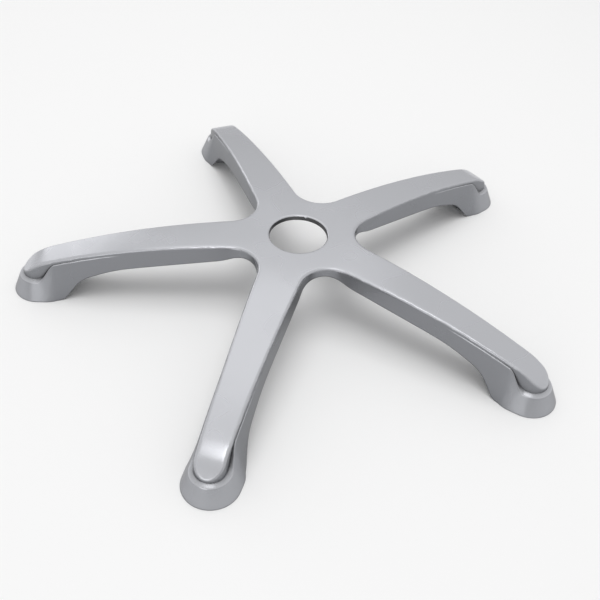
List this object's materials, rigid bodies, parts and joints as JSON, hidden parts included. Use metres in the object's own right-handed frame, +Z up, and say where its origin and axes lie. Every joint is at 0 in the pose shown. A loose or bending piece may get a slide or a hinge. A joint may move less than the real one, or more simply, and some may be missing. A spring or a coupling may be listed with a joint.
{
  "type": "office chair five star base",
  "caption": "Cast metal star base for a swivel chair: tapering arms fall from a bored hub to flared round feet with caster sockets.",
  "frame": {"origin": "on the column axis, at the flat top of the hub", "axes": "+Z up along the column axis; the front arm points along -Y; +X to the right"},
  "size_m": [0.61, 0.5829, 0.077],
  "materials": {
    "cast_aluminium": "polished"
  },
  "bodies": {
    "root": {"star_base": "cast_aluminium"}
  },
  "joints": []
}
